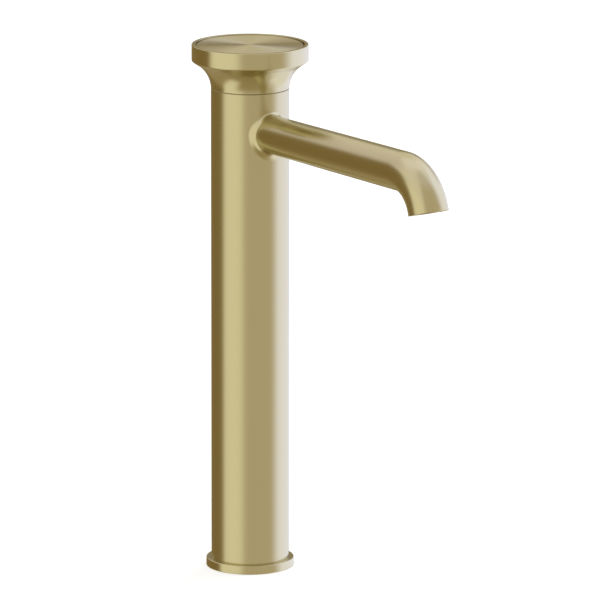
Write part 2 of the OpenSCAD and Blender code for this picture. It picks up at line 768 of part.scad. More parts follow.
// Turned knob body: neck, hollow flare and straight rim, with a hub inside.
module knob_shell() {
    color(gold) rotate_extrude() difference() {
        polygon([
            [0, knob_z], [column_r - seam_chamfer, knob_z], flare_low, flare_high,
            [knob_r, rim_z], [knob_r, knob_top_z - rim_chamfer],
            [knob_r - rim_chamfer, knob_top_z], [0, knob_top_z]
        ]);
        translate(flare_centre) circle(r = flare_r, $fn = 180);
        polygon([
            [0, knob_z - over], [skirt_r, knob_z - over], [skirt_r, knob_z + skirt_straight],
            [cavity_r, web_z - cavity_shoulder], [cavity_r, web_z], [hub_r, web_z], [hub_r, hub_z], [0, hub_z]
        ]);
        translate([0, hub_z - over]) square([insert_r + slip, insert_top_z - hub_z + over]);
        translate([0, hub_z]) square([screw_d / 2 + 2 * slip, knob_h]);
        translate([0, well_z]) square([recess_r, knob_h]);
        translate([0, cap_z]) square([cap_pocket_r, knob_h]);
    }
}

// Washer under the knob screw's head.
module screw_washer() {
    color(steel) translate([0, 0, well_z]) ring(washer_r, screw_d / 2 + slip, washer_h);
}

// Socket screw that pulls the knob onto the spindle.
module knob_screw() {
    seat = well_z + washer_h;
    color(steel) difference() {
        union() {
            translate([0, 0, seat - screw_length]) cylinder(h = screw_length, d = screw_d - 2 * slip);
            translate([0, 0, seat]) cylinder(h = screw_head_h, r = screw_head_r);
        }
        translate([0, 0, seat + screw_head_h / 3])
            cylinder(h = screw_head_h, d = screw_hex / cos(30), $fn = 6);
    }
}

// O-ring that grips the cap's boss in the well.
module cap_seal() {
    color(black) translate([0, 0, cap_z - cap_boss_h / 2])
        o_ring(recess_r - slip - cap_ring_d, cap_ring_d);
}

// Flush cap on top of the knob, with a boss that presses into the well.
module knob_cap() {
    boss_r = recess_r - slip;
    color(gold) difference() {
        union() {
            rotate_extrude() polygon([
                [0, cap_z], [cap_r, cap_z], [cap_r, cap_top_z - cap_chamfer],
                [cap_r - cap_chamfer, cap_top_z], [0, cap_top_z]
            ]);
            translate([0, 0, cap_z - cap_boss_h])
                ring(boss_r, boss_r - cap_boss_wall, cap_boss_h + cap_t / 2);
        }
        translate([0, 0, cap_z - cap_boss_h / 2])
            ring_groove(boss_r - cap_ring_d - slip, boss_r + over, cap_ring_d);
    }
}

base_gasket();
base_ring();
column_tube();
base_circlip();
base_plug();
supply_tube(-1);  // supply_tube_hot
supply_tube(1);  // supply_tube_cold
supply_o_rings();
valve_seat();
spout_shank();
shank_seal();
spout_lock_screw();
spout_tube();
spout_collar();
aerator_seal();
flow_regulator();
aerator_screen();
aerator_core();
aerator_housing();
port_seals();
cartridge_base();
fixed_disc();
cartridge_housing();
cartridge_nut();
glide_ring();
moving_disc();
disc_carrier();
spindle();
spindle_seal();
limit_ring();
knob_insert();
knob_shell();
screw_washer();
knob_screw();
cap_seal();
knob_cap();
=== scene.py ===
# A tall single-hole bathroom mixer tap in brushed gold, dressed piece by piece from the worktop
# up. The pieces' sizes are in millimetres, and the view, the floor and the lamps are in metres;
# +Z is up and the spout points along -Y.
import math

import bmesh
import bpy
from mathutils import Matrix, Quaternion, Vector


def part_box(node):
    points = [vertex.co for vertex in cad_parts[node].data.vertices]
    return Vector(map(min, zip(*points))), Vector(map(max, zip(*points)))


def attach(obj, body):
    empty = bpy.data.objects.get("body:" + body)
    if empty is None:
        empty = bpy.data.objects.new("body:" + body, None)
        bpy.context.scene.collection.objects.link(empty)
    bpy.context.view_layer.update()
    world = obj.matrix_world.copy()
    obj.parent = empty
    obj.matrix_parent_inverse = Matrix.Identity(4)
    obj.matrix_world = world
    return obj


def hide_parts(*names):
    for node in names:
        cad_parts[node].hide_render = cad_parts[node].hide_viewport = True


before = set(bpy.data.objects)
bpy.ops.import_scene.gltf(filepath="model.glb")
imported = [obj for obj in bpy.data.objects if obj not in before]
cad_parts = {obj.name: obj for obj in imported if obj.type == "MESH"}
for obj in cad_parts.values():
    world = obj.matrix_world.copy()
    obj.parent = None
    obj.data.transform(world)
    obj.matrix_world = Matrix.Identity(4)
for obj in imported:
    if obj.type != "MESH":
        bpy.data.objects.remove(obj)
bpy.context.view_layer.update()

scene = bpy.context.scene

# ---- The view ----
# A long lens stands far back, well to the spout's side and a little above the tap. It looks
# slightly down and is unshifted, and from so far the column's lines stay all but upright.
view_turn = math.radians(-34.513)
view_rise = math.radians(12.368)
view_roll = math.radians(0.081)
view_distance = 4.0
view_aim = Vector((0.008494, -0.038668, 0.163585))
view_back = Vector((
    math.sin(view_turn) * math.cos(view_rise),
    -math.cos(view_turn) * math.cos(view_rise),
    math.sin(view_rise),
))
view_turned = (-view_back).to_track_quat("-Z", "Y") @ Quaternion((0, 0, 1), view_roll)
lens = bpy.data.cameras.new("long_lens")
lens.sensor_width = 36
lens.lens = 417.568
camera = bpy.data.objects.new("long_lens", lens)
camera.location = view_aim + view_back * view_distance
camera.rotation_euler = view_turned.to_euler()
scene.collection.objects.link(camera)
scene.camera = camera
scene.view_settings.view_transform = "Standard"


# ---- The floor ----
# A wide sheet of matt white board under the tap. It takes the tap's soft shadow and runs out
# to the same white as the backdrop.
def add_node(tree, kind, inputs=None, **settings):
    """Adds one shader node; an input is given as a value or as the socket that feeds it."""
    node = tree.nodes.new(kind)
    for name, value in settings.items():
        setattr(node, name, value)
    for name, value in (inputs or {}).items():
        if isinstance(value, bpy.types.NodeSocket):
            tree.links.new(value, node.inputs[name])
        else:
            node.inputs[name].default_value = value
    return node


def new_material(name):
    """An empty node material and its output node."""
    material = bpy.data.materials.new(name)
    material.use_nodes = True
    material.node_tree.nodes.clear()
    return material, material.node_tree, add_node(material.node_tree, "ShaderNodeOutputMaterial")


def either_ray(tree, first, second):
    """1 for rays of either of these two kinds."""
    kinds = add_node(tree, "ShaderNodeLightPath").outputs
    return add_node(tree, "ShaderNodeMath", {
        0: kinds[first], 1: kinds[second],
    }, operation="MAXIMUM").outputs[0]


floor_half = 30.0
floor_drop = 0.0001
board_grey, board_lift = 0.86, 0.34
board, tree, output = new_material("white_board")
matt = add_node(tree, "ShaderNodeBsdfDiffuse", {"Color": (board_grey, board_grey, board_grey, 1)})
lift = add_node(tree, "ShaderNodeMath", {
    0: either_ray(tree, "Is Camera Ray", "Is Glossy Ray"), 1: board_lift,
}, operation="MULTIPLY")
glow = add_node(tree, "ShaderNodeEmission", {"Color": (1, 1, 1, 1), "Strength": lift.outputs[0]})
both = add_node(tree, "ShaderNodeAddShader", {0: matt.outputs[0], 1: glow.outputs[0]})
tree.links.new(both.outputs[0], output.inputs["Surface"])
floor_mesh = bpy.data.meshes.new("floor")
floor_mesh.from_pydata(
    [(x * floor_half, y * floor_half, -floor_drop) for x, y in ((-1, -1), (1, -1), (1, 1), (-1, 1))],
    [], [(0, 1, 2, 3)],
)
floor_mesh.materials.append(board)
floor = bpy.data.objects.new("floor", floor_mesh)
floor.visible_glossy = False
scene.collection.objects.link(floor)

# ---- The studio light ----
# A white studio. The metal also sees soft screens around the tap: a warm one at the front left,
# a beige wall at the front right, a cool window at the right and a brown side behind left, all
# paler higher up. Two large soft lamps draw the shadow.
brown_side, brown_low, brown_back = (0.29, 0.21, 0.09), (0.46, 0.37, 0.22), (0.36, 0.30, 0.17)
warm_screen, beige_wall, cool_window = (1.03, 1.01, 0.88), (0.66, 0.59, 0.48), (1.20, 1.26, 1.74)
dark_foot, dark_corner, pale_corner = (0.42, 0.34, 0.19), (0.20, 0.17, 0.12), (0.92, 0.86, 0.76)
low_front, low_back = (0.44, 0.36, 0.21), (0.60, 0.50, 0.38)
high_front, high_back = (0.65, 0.59, 0.48), (0.86, 0.82, 0.72)
ceiling_left, ceiling_back = (1.08, 1.06, 1.20), (1.06, 1.03, 1.10)
low_screens = (
    (-180, low_back), (-165, brown_low), (-98, brown_low), (-84, warm_screen), (-54, warm_screen),
    (-32, low_front), (20, low_front), (60, (0.62, 0.53, 0.41)), (96, (1.16, 1.18, 1.36)),
    (160, (1.06, 1.06, 1.18)), (180, low_back),
)
level_screens = (
    (-180, brown_back), (-172, brown_back), (-168, brown_side), (-91, brown_side), (-79, warm_screen),
    (-30, warm_screen), (-12, beige_wall), (68, beige_wall), (94, cool_window), (136, cool_window),
    (164, (1.05, 1.06, 1.30)), (172, brown_back),
)
middle_screens = (
    (-180, dark_corner), (-175, dark_corner), (-166, pale_corner), (-142, pale_corner),
    (-132, brown_side), (-91, brown_side), (-79, warm_screen), (-30, warm_screen), (-12, beige_wall),
    (68, beige_wall), (94, cool_window), (134, cool_window), (146, brown_back), (174, dark_corner),
)
high_screens = (
    (-180, high_back), (-165, (0.90, 0.85, 0.78)), (-150, (0.88, 0.83, 0.84)), (-108, (0.82, 0.77, 0.82)),
    (-84, (0.97, 0.94, 0.94)), (-32, (0.95, 0.93, 0.90)), (-14, high_front), (48, high_front),
    (66, (0.66, 0.60, 0.52)), (94, cool_window), (128, cool_window), (156, (1.10, 1.08, 1.22)),
    (180, high_back),
)
ceiling_screens = (
    (-180, ceiling_back), (-165, ceiling_left), (-125, ceiling_left), (-100, (1.03, 1.01, 1.15)),
    (-54, (0.95, 0.92, 0.97)), (-18, (0.78, 0.74, 0.74)), (50, (0.72, 0.69, 0.70)),
    (90, (0.97, 0.96, 1.12)), (118, (1.02, 1.01, 1.18)), (151, (1.12, 1.10, 1.30)), (180, ceiling_back),
)
room_fill = 0.55
studio = bpy.data.worlds.new("studio")
scene.world = studio
studio.use_nodes = True
tree = studio.node_tree
tree.nodes.clear()
way = add_node(tree, "ShaderNodeTexCoord").outputs["Generated"]
turned = add_node(tree, "ShaderNodeVectorRotate", {
    "Vector": way, "Angle": -view_turn,
}, rotation_type="Z_AXIS")
split = add_node(tree, "ShaderNodeSeparateXYZ", {"Vector": turned.outputs[0]})
toward = add_node(tree, "ShaderNodeMath", {0: split.outputs["Y"], 1: -1.0}, operation="MULTIPLY")
angle = add_node(tree, "ShaderNodeMath", {0: split.outputs["X"], 1: toward.outputs[0]}, operation="ARCTAN2")
around = add_node(tree, "ShaderNodeMapRange", {
    "Value": angle.outputs[0], "From Min": -math.pi, "From Max": math.pi,
})


def screen_ring(stops):
    """Screens all round the tap, given as (degrees from the camera's side, colour) pairs."""
    ramp = add_node(tree, "ShaderNodeValToRGB", {"Fac": around.outputs[0]})
    for k, (degrees, colour) in enumerate(stops):
        at = (degrees + 180) / 360
        stop = ramp.color_ramp.elements[k] if k < 2 else ramp.color_ramp.elements.new(at)
        stop.position = at
        stop.color = (*colour, 1)
    return ramp.outputs["Color"]


def blend_by_height(low, high, low_degrees, high_degrees):
    """Goes from one ring of screens to the next between two angles above the level."""
    share = add_node(tree, "ShaderNodeMapRange", {
        "Value": split.outputs["Z"], "From Min": math.sin(math.radians(low_degrees)),
        "From Max": math.sin(math.radians(high_degrees)),
    }, interpolation_type="SMOOTHSTEP")
    mix = add_node(tree, "ShaderNodeMix", {0: share.outputs[0], 6: low, 7: high}, data_type="RGBA")
    return mix.outputs[2]


rings = (*dark_foot, 1)
for screens, low_degrees, high_degrees in (
    (low_screens, -74, -56), (level_screens, -37, -22), (middle_screens, 11, 17),
    (high_screens, 16, 28), (ceiling_screens, 46, 66),
):
    rings = blend_by_height(rings, screen_ring(screens), low_degrees, high_degrees)
backdrop = add_node(tree, "ShaderNodeBackground", {"Color": (1, 1, 1, 1), "Strength": 1.0})
fill = add_node(tree, "ShaderNodeBackground", {"Color": (1, 1, 1, 1), "Strength": room_fill})
mirrored = add_node(tree, "ShaderNodeBackground", {"Color": rings, "Strength": 1.0})
glossy_ray = add_node(tree, "ShaderNodeLightPath").outputs["Is Glossy Ray"]
room = add_node(tree, "ShaderNodeMixShader", {0: glossy_ray, 1: fill.outputs[0], 2: mirrored.outputs[0]})
sky = add_node(tree, "ShaderNodeMixShader", {
    0: either_ray(tree, "Is Camera Ray", "Is Transmission Ray"), 1: room.outputs[0], 2: backdrop.outputs[0],
})
add_node(tree, "ShaderNodeOutputWorld", {"Surface": sky.outputs[0]})

for name, place, size, power in (
    ("lamp_left", (-1.6, -1.4, 2.2), 1.6, 34),
    ("lamp_right", (1.8, 0.4, 2.4), 1.8, 30),
):
    lamp = bpy.data.lights.new(name, "AREA")
    lamp.size = size
    lamp.energy = power
    stand = bpy.data.objects.new(name, lamp)
    stand.location = place
    stand.rotation_euler = (Vector(place) - view_aim).to_track_quat("Z", "Y").to_euler()
    stand.visible_glossy = False
    scene.collection.objects.link(stand)

# ---- Base gasket ----
# A flat band of black rubber in the underside of the base ring. The nut under the worktop
# pulls the tap down onto it.


def surface_group(name, inputs, outputs):
    """A node group with named sockets, its tree and its input node."""
    group = bpy.data.node_groups.new(name, "ShaderNodeTree")
    for socket, kind, value in inputs:
        group.interface.new_socket(socket, in_out="INPUT", socket_type=kind).default_value = value
    for socket, kind in outputs:
        group.interface.new_socket(socket, in_out="OUTPUT", socket_type=kind)
    return group, add_node(group, "NodeGroupInput"), add_node(group, "NodeGroupOutput")


def noise(tree, vector, scale, detail, roughness=0.5):
    """Cloudy values around a half, finer as the scale grows."""
    return add_node(tree, "ShaderNodeTexNoise", {
        "Vector": vector, "Scale": scale, "Detail": detail, "Roughness": roughness,
    }).outputs["Fac"]


def map_range(tree, value, low, high, from_low=0.0, from_high=1.0):
    """Puts a value that runs between two limits between low and high."""
    return add_node(tree, "ShaderNodeMapRange", {
        "Value": value, "From Min": from_low, "From Max": from_high, "To Min": low, "To Max": high,
    }).outputs[0]


def mix_colour(tree, share, first, second):
    """Blends two colours; the share is the second one's."""
    return add_node(tree, "ShaderNodeMix", {0: share, 6: first, 7: second}, data_type="RGBA").outputs[2]


# Fine stipple of a moulded surface, with faint cloudy patches where it has been handled.
moulded, given, result = surface_group(
    "moulded_surface",
    (("Colour", "NodeSocketColor", (0.5, 0.5, 0.5, 1)),
     ("Patch Colour", "NodeSocketColor", (0.5, 0.5, 0.5, 1)),
     ("Stipple Scale", "NodeSocketFloat", 4000.0), ("Roughness", "NodeSocketFloat", 0.5)),
    (("Colour", "NodeSocketColor"), ("Roughness", "NodeSocketFloat"), ("Height", "NodeSocketFloat")),
)
patch_scale, patch_swing = 60.0, 0.08
stipple_depth = 0.0002
place = add_node(moulded, "ShaderNodeTexCoord").outputs["Object"]
stipple = noise(moulded, place, given.outputs["Stipple Scale"], detail=3.0)
patches = noise(moulded, place, patch_scale, detail=4.0, roughness=0.6)
patch_share = map_range(moulded, patches, 0.0, 1.0, from_low=0.35, from_high=0.7)
moulded.links.new(mix_colour(moulded, patch_share, given.outputs["Colour"], given.outputs["Patch Colour"]),
                  result.inputs["Colour"])
patch_gloss = add_node(moulded, "ShaderNodeMath", {
    0: given.outputs["Roughness"], 1: map_range(moulded, patches, -patch_swing, patch_swing),
}, operation="ADD")
moulded.links.new(patch_gloss.outputs[0], result.inputs["Roughness"])
moulded.links.new(stipple, result.inputs["Height"])


def moulded_material(name, colour, patch_colour, roughness, stipple_scale, bump, **shader):
    """A moulded plastic, rubber or ceramic."""
    material, tree, output = new_material(name)
    surface = add_node(tree, "ShaderNodeGroup", node_tree=moulded)
    for socket, value in (("Colour", (*colour, 1)), ("Patch Colour", (*patch_colour, 1)),
                          ("Stipple Scale", stipple_scale), ("Roughness", roughness)):
        surface.inputs[socket].default_value = value
    relief = add_node(tree, "ShaderNodeBump", {
        "Height": surface.outputs["Height"], "Strength": bump, "Distance": stipple_depth,
    })
    skin = add_node(tree, "ShaderNodeBsdfPrincipled", {
        "Base Color": surface.outputs["Colour"], "Roughness": surface.outputs["Roughness"],
        "Normal": relief.outputs[0], **shader,
    })
    tree.links.new(skin.outputs[0], output.inputs["Surface"])
    return material


def dress(material, *nodes):
    """Gives CAD nodes their finish."""
    for node in nodes:
        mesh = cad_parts[node].data
        mesh.materials.clear()
        mesh.materials.append(material)


black_rubber = moulded_material(
    "black_rubber", colour=(0.022, 0.022, 0.023), patch_colour=(0.040, 0.039, 0.038),
    roughness=0.55, stipple_scale=3500, bump=0.25,
)
dress(black_rubber, "base_gasket")

# ---- Base ring ----
# A trim ring turned from brass and brushed around, then coated in the same gold as the rest.
# The column stands on its inner lip and hides the seam.
MM = 0.001
around_segments = 192
on_axis = 1e-6
corner_steps = 6
sharp_edge = math.radians(28)
grain_along = 0.012
grain_around_mm = 3.0


def swung(arm, a):
    """An arm of a profile, swung against the clock by the angle a."""
    return Vector((arm.x * math.cos(a) - arm.y * math.sin(a), arm.x * math.sin(a) + arm.y * math.cos(a)))


def soften(corners):
    """Rounds a profile's corners; each is (radius, height, size of rounding)."""
    points = []
    for k, (r, z, size) in enumerate(corners):
        here = Vector((r, z))
        if not size:
            points.append(here)
            continue
        before = Vector(corners[k - 1][:2]) - here
        after = Vector(corners[(k + 1) % len(corners)][:2]) - here
        half = before.angle(after) / 2
        before.normalize()
        after.normalize()
        reach = size / math.tan(half)
        centre = here + (before + after).normalized() * (size / math.sin(half))
        start = here + before * reach - centre
        end = here + after * reach - centre
        turn = start.angle_signed(end)
        points += [centre + swung(start, -turn * step / corner_steps) for step in range(corner_steps + 1)]
    return points


def finish_mesh(name, vertices, faces, grain, material):
    """A closed smooth-shaded piece from millimetre points, with its brushing direction stored."""
    mesh = bpy.data.meshes.new(name)
    mesh.from_pydata([(x * MM, y * MM, z * MM) for x, y, z in vertices], [], faces)
    shape = bmesh.new()
    shape.from_mesh(mesh)
    bmesh.ops.recalc_face_normals(shape, faces=shape.faces)
    shape.to_mesh(mesh)
    shape.free()
    mesh.shade_smooth()
    mesh.set_sharp_from_angle(angle=sharp_edge)
    layer = mesh.attributes.new("grain", "FLOAT_VECTOR", "POINT")
    layer.data.foreach_set("vector", [c for point in grain for c in point])
    mesh.materials.append(material)
    piece = bpy.data.objects.new(name, mesh)
    scene.collection.objects.link(piece)
    even = piece.modifiers.new("even_shading", "WEIGHTED_NORMAL")
    even.keep_sharp = True
    return piece


def turn_on_lathe(name, profile, material, brushed_around=True):
    """Turns a closed profile of (radius, height) points around the Z axis."""
    vertices, grain, rows = [], [], []
    length = 0.0
    for k, (r, z) in enumerate(profile):
        if k:
            length += (profile[k] - profile[k - 1]).length
        if r < on_axis:
            rows.append([len(vertices)] * around_segments)
            vertices.append((0, 0, z))
            grain.append((length, 0, 0))
            continue
        rows.append(list(range(len(vertices), len(vertices) + around_segments)))
        for step in range(around_segments):
            a = 2 * math.pi * step / around_segments
            x, y = r * math.cos(a), r * math.sin(a)
            vertices.append((x, y, z))
            if brushed_around:
                grain.append((length, grain_around_mm * math.cos(a), grain_around_mm * math.sin(a)))
            else:
                grain.append((x, y, z * grain_along))
    faces = []
    for row, following in zip(rows, rows[1:] + rows[:1]):
        for i in range(around_segments):
            j = (i + 1) % around_segments
            corners = list(dict.fromkeys((row[i], row[j], following[j], following[i])))
            if len(corners) > 2:
                faces.append(corners)
    return finish_mesh(name, vertices, faces, grain, material)


# Satin lines of a brushed face, from the piece's stored brushing direction: fine scratches,
# broader streaks and a slow drift in tone.
brushed, given, result = surface_group(
    "brushed_lines",
    (("Colour", "NodeSocketColor", (0.6, 0.54, 0.32, 1)),
     ("Streak Colour", "NodeSocketColor", (0.5, 0.45, 0.26, 1)),
     ("Line Scale", "NodeSocketFloat", 6.0), ("Roughness", "NodeSocketFloat", 0.28),
     ("Line Contrast", "NodeSocketFloat", 0.06)),
    (("Colour", "NodeSocketColor"), ("Roughness", "NodeSocketFloat"), ("Height", "NodeSocketFloat")),
)
grain_way = add_node(brushed, "ShaderNodeAttribute", attribute_name="grain").outputs["Vector"]
scratches = noise(brushed, grain_way, given.outputs["Line Scale"], detail=4.0, roughness=0.6)
streak_share, streak_size = 0.25, 0.22
streak_scale = add_node(brushed, "ShaderNodeMath", {
    0: given.outputs["Line Scale"], 1: streak_size,
}, operation="MULTIPLY")
streaks = noise(brushed, grain_way, streak_scale.outputs[0], detail=2.0)
both_lines = add_node(brushed, "ShaderNodeMix", {0: streak_share, 2: scratches, 3: streaks}).outputs[0]
tone = map_range(brushed, both_lines, 0.0, 1.0, from_low=0.42, from_high=0.75)
brushed.links.new(mix_colour(brushed, tone, given.outputs["Colour"], given.outputs["Streak Colour"]),
                  result.inputs["Colour"])
low_rough, high_rough = (add_node(brushed, "ShaderNodeMath", {
    0: given.outputs["Roughness"], 1: given.outputs["Line Contrast"],
}, operation=operation).outputs[0] for operation in ("SUBTRACT", "ADD"))
brushed.links.new(map_range(brushed, both_lines, low_rough, high_rough, from_low=0.3, from_high=0.7),
                  result.inputs["Roughness"])
brushed.links.new(both_lines, result.inputs["Height"])


gold_colour, gold_streak = (0.600, 0.540, 0.320, 1), (0.575, 0.512, 0.296, 1)
line_scale, line_contrast = 8.0, 0.025
line_relief, line_depth = 0.06, 0.00005
along, around_it = 0.0, 0.25


def brushed_gold(name, turn, roughness=0.23, spread=0.5, tangent_map=None):
    """Gold-coated brass, brushed along or around it; the spread is how far its gloss smears."""
    material, tree, output = new_material(name)
    surface = add_node(tree, "ShaderNodeGroup", node_tree=brushed)
    for socket, value in (("Colour", gold_colour), ("Streak Colour", gold_streak), ("Line Scale", line_scale),
                          ("Line Contrast", line_contrast), ("Roughness", roughness)):
        surface.inputs[socket].default_value = value
    relief = add_node(tree, "ShaderNodeBump", {
        "Height": surface.outputs["Height"], "Strength": line_relief, "Distance": line_depth,
    })
    if tangent_map:
        across = add_node(tree, "ShaderNodeTangent", direction_type="UV_MAP", uv_map=tangent_map)
    else:
        across = add_node(tree, "ShaderNodeTangent", direction_type="RADIAL", axis="Z")
    metal = add_node(tree, "ShaderNodeBsdfPrincipled", {
        "Base Color": surface.outputs["Colour"], "Metallic": 1.0, "Roughness": surface.outputs["Roughness"],
        "Anisotropic": spread, "Anisotropic Rotation": turn, "Tangent": across.outputs[0],
        "Normal": relief.outputs[0],
    })
    tree.links.new(metal.outputs[0], output.inputs["Surface"])
    return material


gold_brushed_along = brushed_gold("gold_brushed_along", along)
gold_brushed_around = brushed_gold("gold_brushed_around", around_it)

column_r = 22.5
fit = 0.05
ring_ledge, ring_h, ring_edge, ring_mouth_edge = 3.0, 5.0, 0.5, 0.15
lip_w, lip_h = 3.5, 2.0
gasket_band, gasket_h = 2.8, 1.0
ring_r = column_r + ring_ledge
lip_r = column_r - lip_w
gasket_out = column_r + gasket_band / 3 + fit
gasket_in = column_r - gasket_band * 2 / 3 - fit
base_ring = turn_on_lathe("base_ring_gold", soften((
    (lip_r, 0, 0), (gasket_in, 0, 0), (gasket_in, gasket_h, 0), (gasket_out, gasket_h, 0), (gasket_out, 0, 0),
    (ring_r, 0, ring_edge), (ring_r, ring_h, ring_edge), (column_r + fit, ring_h, ring_mouth_edge),
    (column_r + fit, lip_h, 0), (lip_r, lip_h, 0),
)), gold_brushed_around)
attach(base_ring, "tap")
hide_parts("base_ring")

# ---- Column ----
# A drawn brass tube, brushed lengthwise and coated. It is bored for the spout's shank near the
# top and stepped at the foot, where the plug and its snap ring sit.
column_top = 282.4
bore_r = 20.0
foot_bore_r, clip_groove_depth = 20.5, 0.8
foot_step_z = 21.8
column_edge = 0.2
clip_groove_r = foot_bore_r + clip_groove_depth
clip_low, clip_high = 6.15, 7.85
spout_z = 258.8
shank_hole_r = 8.08
drill_reach = 30
drill_sides = 64
column = turn_on_lathe("column_gold", soften((
    (foot_bore_r, lip_h, 0), (column_r, lip_h, 0), (column_r, column_top, column_edge),
    (bore_r, column_top, column_edge), (bore_r, foot_step_z, 0), (foot_bore_r, foot_step_z, 0),
    (foot_bore_r, clip_high, 0), (clip_groove_r, clip_high, 0), (clip_groove_r, clip_low, 0),
    (foot_bore_r, clip_low, 0),
)), gold_brushed_along, brushed_around=False)


def drill(piece, start, end, radius):
    """Drills a round hole from one point to another and leaves no cutter behind."""
    tool = bmesh.new()
    way = Vector(end) - Vector(start)
    bmesh.ops.create_cone(tool, cap_ends=True, segments=drill_sides, radius1=radius * MM, radius2=radius * MM,
                          depth=way.length * MM)
    mesh = bpy.data.meshes.new("drill")
    tool.to_mesh(mesh)
    tool.free()
    cutter = bpy.data.objects.new("drill", mesh)
    scene.collection.objects.link(cutter)
    cutter.location = (Vector(start) + Vector(end)) / 2 * MM
    cutter.rotation_euler = way.to_track_quat("Z", "Y").to_euler()
    cut = piece.modifiers.new("drilled", "BOOLEAN")
    cut.operation = "DIFFERENCE"
    cut.object = cutter
    cut.solver = "EXACT"
    piece.modifiers.move(len(piece.modifiers) - 1, 0)
    graph = bpy.context.evaluated_depsgraph_get()
    even = piece.modifiers["even_shading"]
    even.show_viewport = False
    graph.update()
    drilled = bpy.data.meshes.new_from_object(piece.evaluated_get(graph))
    even.show_viewport = True
    piece.modifiers.remove(cut)
    old = piece.data
    piece.data = drilled
    drilled.name = old.name
    bpy.data.meshes.remove(old)
    bpy.data.objects.remove(cutter)
    bpy.data.meshes.remove(mesh)


drill(column, (0, 0, spout_z), (0, -drill_reach, spout_z), shank_hole_r)
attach(column, "tap")
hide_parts("column_tube")

# ---- Base plug and snap ring ----
# The plug is a turned brass disc with the threads for the hoses and studs; a spring-steel snap
# ring holds it in the foot.

# Fine concentric tool marks of a turned face.
turned_marks, given, result = surface_group(
    "tool_marks",
    (("Colour", "NodeSocketColor", (0.6, 0.45, 0.2, 1)),
     ("Dull Colour", "NodeSocketColor", (0.5, 0.38, 0.18, 1)),
     ("Pitch Scale", "NodeSocketFloat", 2500.0), ("Roughness", "NodeSocketFloat", 0.3)),
    (("Colour", "NodeSocketColor"), ("Roughness", "NodeSocketFloat"), ("Height", "NodeSocketFloat")),
)
stain_scale = 90.0
mark_swing, mark_depth = 0.1, 0.0001
place = add_node(turned_marks, "ShaderNodeTexCoord").outputs["Object"]
apart = add_node(turned_marks, "ShaderNodeSeparateXYZ", {"Vector": place}).outputs
flat_place = add_node(turned_marks, "ShaderNodeCombineXYZ", {"X": apart["X"], "Y": apart["Y"]}).outputs[0]
off_axis = add_node(turned_marks, "ShaderNodeVectorMath", {
    0: flat_place,
}, operation="LENGTH").outputs["Value"]
ring_place = add_node(turned_marks, "ShaderNodeCombineXYZ", {"X": off_axis, "Y": apart["Z"]}).outputs[0]
marks = noise(turned_marks, ring_place, given.outputs["Pitch Scale"], detail=3.0, roughness=0.6)
stains = noise(turned_marks, place, stain_scale, detail=4.0, roughness=0.55)
stain_share = map_range(turned_marks, stains, 0.0, 1.0, from_low=0.35, from_high=0.7)
stained = mix_colour(turned_marks, stain_share, given.outputs["Colour"], given.outputs["Dull Colour"])
turned_marks.links.new(stained, result.inputs["Colour"])
mark_rough = add_node(turned_marks, "ShaderNodeMath", {
    0: given.outputs["Roughness"], 1: map_range(turned_marks, marks, -mark_swing, mark_swing),
}, operation="ADD")
turned_marks.links.new(mark_rough.outputs[0], result.inputs["Roughness"])
turned_marks.links.new(marks, result.inputs["Height"])


def machined_material(name, colour, dull_colour, roughness, pitch_scale, bump):
    """A bare machined metal."""
    material, tree, output = new_material(name)
    surface = add_node(tree, "ShaderNodeGroup", node_tree=turned_marks)
    for socket, value in (("Colour", (*colour, 1)), ("Dull Colour", (*dull_colour, 1)),
                          ("Pitch Scale", pitch_scale), ("Roughness", roughness)):
        surface.inputs[socket].default_value = value
    relief = add_node(tree, "ShaderNodeBump", {
        "Height": surface.outputs["Height"], "Strength": bump, "Distance": mark_depth,
    })
    metal = add_node(tree, "ShaderNodeBsdfPrincipled", {
        "Base Color": surface.outputs["Colour"], "Roughness": surface.outputs["Roughness"], "Metallic": 1.0,
        "Normal": relief.outputs[0],
    })
    tree.links.new(metal.outputs[0], output.inputs["Surface"])
    return material


turned_brass = machined_material(
    "turned_brass", colour=(0.63, 0.46, 0.20), dull_colour=(0.50, 0.35, 0.15),
    roughness=0.30, pitch_scale=2500, bump=0.2,
)
spring_steel = machined_material(
    "spring_steel", colour=(0.52, 0.53, 0.55), dull_colour=(0.42, 0.42, 0.43),
    roughness=0.28, pitch_scale=3000, bump=0.15,
)
dress(turned_brass, "base_plug")
dress(spring_steel, "base_circlip")

# ---- Supply tubes ----
# Two drawn copper tubes carry hot and cold water from the plug up to the valve seat. Rubber
# O-rings seal both their ends.
drawn_copper = machined_material(
    "drawn_copper", colour=(0.72, 0.36, 0.22), dull_colour=(0.50, 0.24, 0.15),
    roughness=0.32, pitch_scale=1200, bump=0.1,
)
dress(drawn_copper, "supply_tube_hot", "supply_tube_cold")
dress(black_rubber, "supply_o_rings")

# ---- Valve seat and spout shank ----
# The seat is a brass block turned and drilled for the water ways. The shank is a brass sleeve
# locked in it with a steel grub screw, and the spout is bonded over the shank.
dress(turned_brass, "valve_seat", "spout_shank")
dress(black_rubber, "shank_seal")
dress(spring_steel, "spout_lock_screw")

# ---- Spout ----
# A drawn brass tube, bent down at its end and brushed along its whole length. Its root is
# fish-mouthed to the column and its end is bored for the aerator.
spout_straight = 152.0
bend_radius = 25.7
bend_angle = math.radians(74)
spout_end = 1.2
root_r, bend_r, tip_r = 10.9, 11.4, 11.5
spout_bore_r = 8.0
aerator_bore_r = 9.25
aerator_seat = 8.5
lip_round = 0.25
spout_segments = 128
first_row, row_pitch, straight_rows, bend_rows = 30, 5.77, 20, 48
bore_rows, bore_margin = 16, 1.6
saddle_r = column_r + fit
bend_end = spout_straight + bend_radius * bend_angle
run_length = bend_end + spout_end


